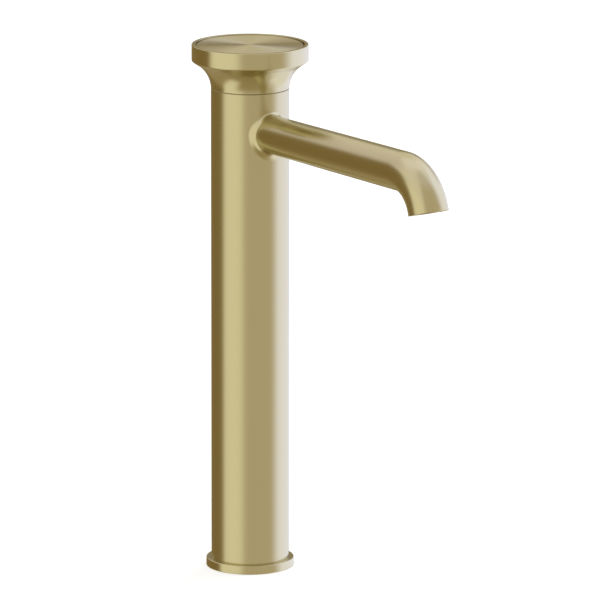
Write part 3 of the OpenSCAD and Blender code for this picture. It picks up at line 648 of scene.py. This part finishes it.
def spout_place(s):
    """Centre of the spout at length s from the column's axis, its direction and its upper side."""
    if s <= spout_straight:
        return Vector((0, -s, spout_z)), Vector((0, -1, 0)), Vector((0, 0, 1))
    a = min(s - spout_straight, bend_end - spout_straight) / bend_radius
    ahead = Vector((0, -math.cos(a), -math.sin(a)))
    upper = Vector((0, -math.sin(a), math.cos(a)))
    centre = Vector((0, -spout_straight, spout_z - bend_radius)) + upper * bend_radius
    return centre + ahead * max(s - bend_end, 0.0), ahead, upper


def saddle_length(radius, a):
    """Distance from the column's axis to its face, on a tube of that radius at angle a."""
    return math.sqrt(saddle_r ** 2 - (radius * math.sin(a)) ** 2)


def outer_radius(s):
    """Outside radius of the spout at length s: it swells a little to the bend and to the tip."""
    if s <= spout_straight:
        return root_r + (bend_r - root_r) * s / spout_straight
    return bend_r + (tip_r - bend_r) * max(s - bend_end, 0.0) / spout_end


vertices, grain, lengthwise = [], [], []


def girth_angle(k):
    """Angle of point k around the spout, from its upper side."""
    return 2 * math.pi * k / spout_segments


def spout_row(points, s_values):
    """Adds one row of points around the spout, with its brushing coordinates."""
    for k, (point, s) in enumerate(zip(points, s_values)):
        vertices.append(point)
        grain.append((root_r * math.sin(girth_angle(k)), root_r * math.cos(girth_angle(k)), s * grain_along))
        lengthwise.append(s)


def saddle_row(radius):
    """A row where a tube of that radius meets the column's face."""
    lengths = [saddle_length(radius, girth_angle(k)) for k in range(spout_segments)]
    spout_row([(radius * math.sin(girth_angle(k)), -s, spout_z + radius * math.cos(girth_angle(k)))
               for k, s in enumerate(lengths)], lengths)


def even_row(s, radius):
    """A round row square to the spout at length s."""
    centre, ahead, upper = spout_place(s)
    spout_row([centre + Vector((1, 0, 0)) * radius * math.sin(girth_angle(k))
               + upper * radius * math.cos(girth_angle(k)) for k in range(spout_segments)],
              [s] * spout_segments)


saddle_row(root_r)
for k in range(straight_rows):
    even_row(first_row + row_pitch * k, outer_radius(first_row + row_pitch * k))
for k in range(bend_rows + 1):
    s = spout_straight + (bend_end - spout_straight) * k / bend_rows
    even_row(s, outer_radius(s))
even_row(run_length - lip_round, outer_radius(run_length - lip_round))
for step in range(1, corner_steps + 1):
    a = math.pi / 2 * step / corner_steps
    even_row(run_length - lip_round + lip_round * math.sin(a), tip_r - lip_round * (1 - math.cos(a)))
even_row(run_length, aerator_bore_r + lip_round)
for step in range(1, corner_steps + 1):
    a = math.pi / 2 * step / corner_steps
    even_row(run_length - lip_round * (1 - math.cos(a)), aerator_bore_r + lip_round * (1 - math.sin(a)))
tip_centre, tip_ahead, tip_upper = spout_place(run_length)
seat_centre = tip_centre - tip_ahead * aerator_seat
bore_turn = math.asin((aerator_seat - spout_end) / bend_radius)
bore_drop = bend_radius * (1 - math.cos(bore_turn))
for radius, drop in ((aerator_bore_r, 0.0), (spout_bore_r, bore_drop)):
    spout_row([seat_centre + Vector((1, 0, 0)) * radius * math.sin(girth_angle(k))
               + tip_upper * (radius * math.cos(girth_angle(k)) - drop) for k in range(spout_segments)],
              [run_length - aerator_seat] * spout_segments)
bore_end = bend_end - bend_radius * bore_turn * bore_margin
for k in range(bore_rows + 1):
    even_row(bore_end - (bore_end - spout_straight) * k / bore_rows, spout_bore_r)
saddle_row(spout_bore_r)
rows = len(vertices) // spout_segments
faces = []
for row in range(rows):
    for k in range(spout_segments):
        following, beside = (row + 1) % rows, (k + 1) % spout_segments
        faces.append((row * spout_segments + k, row * spout_segments + beside,
                      following * spout_segments + beside, following * spout_segments + k))
gold_brushed_spout = brushed_gold("gold_brushed_spout", along, tangent_map="girth")
spout = finish_mesh("spout_gold", vertices, faces, grain, gold_brushed_spout)
girth = spout.data.uv_layers.new(name="girth")
for face in spout.data.polygons:
    columns = [spout.data.loops[loop].vertex_index % spout_segments for loop in face.loop_indices]
    wraps = max(columns) - min(columns) > 1
    for loop, column_at in zip(face.loop_indices, columns):
        vertex = spout.data.loops[loop].vertex_index
        turn = column_at + (spout_segments if wraps and column_at == 0 else 0)
        girth.data[loop].uv = (turn / spout_segments, lengthwise[vertex] / run_length)
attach(spout, "tap")
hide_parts("spout_tube")

# ---- Spout collar ----
# A narrow sloping fillet of braze metal, dressed and brushed with the tube, that blends the
# spout's root into the column. It reaches furthest under the spout.
collar_reach, collar_up, collar_side, collar_down = 2.8, 2.0, 2.4, 4.4
collar_hollow, collar_edge = 0.5, 0.02
collar_steps, collar_sides, collar_grain = 16, 192, 0.25


def collar_section(a):
    """Radius around the spout and distance from the column's axis, along one section."""
    def face_at(radius):
        """Distance from the column's axis to its face, at that radius around the spout."""
        return math.sqrt(column_r ** 2 - (radius * math.sin(a)) ** 2)
    upright = collar_up if math.cos(a) > 0 else collar_down
    near, inner = root_r + fit + collar_edge, root_r + fit
    far = root_r + upright * math.cos(a) ** 2 + collar_side * math.sin(a) ** 2
    tube_end = Vector((near, face_at(root_r) + collar_reach))
    corner = Vector((near, face_at(near) + collar_edge))
    face_end = Vector((far, face_at(far) + collar_edge))
    bow = corner * collar_hollow + (tube_end + face_end) / 2 * (1 - collar_hollow)
    curve = [(1 - t) ** 2 * tube_end + 2 * t * (1 - t) * bow + t * t * face_end
             for t in (k / collar_steps for k in range(collar_steps + 1))]
    back = [Vector((radius, face_at(radius) + collar_edge / 2)) for radius in (far, (far + inner) / 2, inner)]
    return curve + back + [Vector((inner, tube_end.y))]


vertices, grain, faces = [], [], []
for k in range(collar_sides):
    a = 2 * math.pi * k / collar_sides
    for step, (radius, along) in enumerate(collar_section(a)):
        vertices.append((radius * math.sin(a), -along, spout_z + radius * math.cos(a)))
        grain.append((step * collar_grain, grain_around_mm * math.cos(a), grain_around_mm * math.sin(a)))
per_section = len(vertices) // collar_sides
for k in range(collar_sides):
    for step in range(per_section):
        beside, following = (k + 1) % collar_sides * per_section, (step + 1) % per_section
        faces.append((k * per_section + step, k * per_section + following, beside + following, beside + step))
gold_collar = brushed_gold("gold_collar", along, roughness=0.2, spread=0.0)
collar = finish_mesh("spout_collar_gold", vertices, faces, grain, gold_collar)
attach(collar, "tap")
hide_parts("spout_collar")

# ---- Aerator ----
# A screw-in aerator: steel housing with key notches, white honeycomb core, steel screen and a
# black flow regulator, sealed with a rubber washer.
acetal_white = moulded_material(
    "acetal_white", colour=(0.80, 0.79, 0.75), patch_colour=(0.74, 0.73, 0.68),
    roughness=0.38, stipple_scale=5000, bump=0.12,
    **{"Subsurface Weight": 0.05, "Subsurface Scale": 0.002},
)
nylon_black = moulded_material(
    "nylon_black", colour=(0.020, 0.020, 0.021), patch_colour=(0.034, 0.034, 0.034),
    roughness=0.42, stipple_scale=4200, bump=0.2,
)
dress(spring_steel, "aerator_housing", "aerator_screen")
dress(acetal_white, "aerator_core")
dress(nylon_black, "flow_regulator")
dress(black_rubber, "aerator_seal")

# ---- Cartridge ----
# A 25 mm ceramic-disc cartridge in a white plastic drum, seated on three rubber seals and
# clamped by a brass nut.
alumina = moulded_material(
    "alumina", colour=(0.86, 0.84, 0.79), patch_colour=(0.82, 0.80, 0.74),
    roughness=0.22, stipple_scale=6000, bump=0.05,
)
dress(black_rubber, "port_seals", "spindle_seal")
dress(acetal_white, "cartridge_base", "cartridge_housing")
dress(alumina, "fixed_disc", "moving_disc")
dress(nylon_black, "disc_carrier")
dress(turned_brass, "cartridge_nut", "spindle")

# ---- Glide ring ----
# A low-friction ring in the seam between column and knob. It centres the knob and shows only as
# a thin brown line; its brown is painted shade, set to the colour of the shaded seam.
# Painted shade: this brown is the colour of the shaded seam, put on the ring that fills it.
seam_shade_nylon = moulded_material(
    "seam_shade_nylon", colour=(0.44, 0.35, 0.16), patch_colour=(0.50, 0.40, 0.20),
    roughness=0.42, stipple_scale=4200, bump=0.2,
)
glide_in, glide_guide_r, glide_edge_r = 17.5, 19.3, 22.0
glide_seat_h, glide_lip_h, glide_spigot_h = 2.4, 0.32, 3.2
glide_round, glide_edge = 0.2, 0.05
seat_top = column_top - glide_seat_h
glide_top = column_top + glide_lip_h
spigot_top = glide_top + glide_spigot_h
glide = turn_on_lathe("glide_ring_brown", soften((
    (glide_in, seat_top, glide_round), (bore_r - fit, seat_top, glide_round), (bore_r - fit, column_top, 0),
    (glide_edge_r, column_top, glide_edge), (glide_edge_r, glide_top, glide_edge),
    (glide_guide_r, glide_top, 0), (glide_guide_r, spigot_top, glide_round),
    (glide_in, spigot_top, glide_round),
)), seam_shade_nylon)
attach(glide, "tap")
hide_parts("glide_ring")

# ---- Knob drive ----
# A splined plastic bush in the knob's hub and a splined stop ring that limits the turn; both
# slide over the brass spindle.
dress(acetal_white, "limit_ring", "knob_insert")

# ---- Knob body ----
# Turned from brass bar: a neck as wide as the column, a hollow flare and a straight rim. It is
# brushed around on the lathe before it is coated.
seam_gap = 0.4
knob_r, knob_h, knob_edge = 33.6, 25.4, 0.4
rim_h, rim_edge = 9.5, 1.0
bevel_w, bevel_h = 3.0, 2.0
neck_edge = 0.5
fine_edge = 0.2
flare_hollow, flare_steps = 1.8, 28
pocket_wall, pocket_depth = 2.2, 2.9
well_r, well_depth, web_t = 14.2, 3.3, 3.0
skirt_r, skirt_h, cavity_r, cavity_wall_h = 19.4, 5.5, 26.5, 1
hub_r, insert_r, screw_hole_r = 9.0, 6.55, 2.6
knob_z = column_top + seam_gap
knob_top = knob_z + knob_h
rim_z = knob_top - rim_h
flare_low = Vector((column_r, knob_z + neck_edge))
flare_high = Vector((knob_r - bevel_w, rim_z - bevel_h))
chord = (flare_high - flare_low).length
flare_r = ((chord / 2) ** 2 + flare_hollow ** 2) / (2 * flare_hollow)
flare_out = Vector((flare_high.y - flare_low.y, flare_low.x - flare_high.x)) / chord
flare_centre = (flare_low + flare_high) / 2 + (flare_r - flare_hollow) * flare_out
flare_from, flare_to = flare_low - flare_centre, flare_high - flare_centre
flare_turn = -flare_from.angle_signed(flare_to)
flare = [flare_centre + swung(flare_from, flare_turn * step / flare_steps) for step in range(flare_steps + 1)]
cap_floor = knob_top - pocket_depth
well_floor = cap_floor - well_depth
web = well_floor - web_t
pocket_r = knob_r - pocket_wall
hub_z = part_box("knob_insert")[0].z / MM
insert_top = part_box("knob_insert")[1].z / MM
lower = soften((
    (skirt_r, knob_z, fine_edge), (column_r, knob_z, fine_edge), (column_r, knob_z + neck_edge, 0),
))[:-1]
upper = soften((
    (flare_high.x, flare_high.y, 0), (knob_r, rim_z, rim_edge), (knob_r, knob_top, knob_edge),
    (pocket_r, knob_top, fine_edge), (pocket_r, cap_floor, 0), (well_r, cap_floor, 0),
    (well_r, well_floor, 0), (screw_hole_r, well_floor, 0), (screw_hole_r, insert_top, 0),
    (insert_r, insert_top, 0), (insert_r, hub_z, 0), (hub_r, hub_z, 0), (hub_r, web, 0), (cavity_r, web, 0),
    (cavity_r, web - cavity_wall_h, 0), (skirt_r, knob_z + skirt_h, 0),
))[1:]
knob = turn_on_lathe("knob_gold", lower + flare + upper, gold_brushed_around)
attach(knob, "knob")
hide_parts("knob_shell")

# ---- Knob screw ----
# A steel socket screw and its washer, put in through the knob's well before the cap. They pull
# the knob down onto the spindle.
dress(spring_steel, "knob_screw", "screw_washer")

# ---- Knob cap ----
# A thin brass disc with a spun finish, set a hair below the rim. Its boss grips an O-ring in
# the knob's well.
cap_sink, cap_gap, cap_edge = 0.4, 0.7, 0.35
boss_h, boss_wall, boss_edge = 2.2, 3.6, 0.2
groove_drop, groove_half, groove_depth = 1.1, 0.75, 1.45
cap_rows = (24, 16, 9, 4.5, 2, 0.8)
cap_top = knob_top - cap_sink
cap_r = pocket_r - cap_gap
boss_r = well_r - fit
boss_low = cap_floor - boss_h
groove_low, groove_high = cap_floor - groove_drop - groove_half, cap_floor - groove_drop + groove_half
groove_r = boss_r - groove_depth
cap_profile = [Vector((0, cap_floor))] + soften((
    (boss_r - boss_wall, cap_floor, 0), (boss_r - boss_wall, boss_low, 0), (boss_r, boss_low, boss_edge),
    (boss_r, groove_low, 0), (groove_r, groove_low, 0), (groove_r, groove_high, 0),
    (boss_r, groove_high, 0), (boss_r, cap_floor, 0), (cap_r, cap_floor, 0), (cap_r, cap_top, cap_edge),
)) + [Vector((r, cap_top)) for r in cap_rows] + [Vector((0, cap_top))]
gold_spun = brushed_gold("gold_spun", around_it, roughness=0.36, spread=0.95)
cap = turn_on_lathe("knob_cap_gold", cap_profile, gold_spun)
dress(black_rubber, "cap_seal")
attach(cap, "knob")
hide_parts("knob_cap")
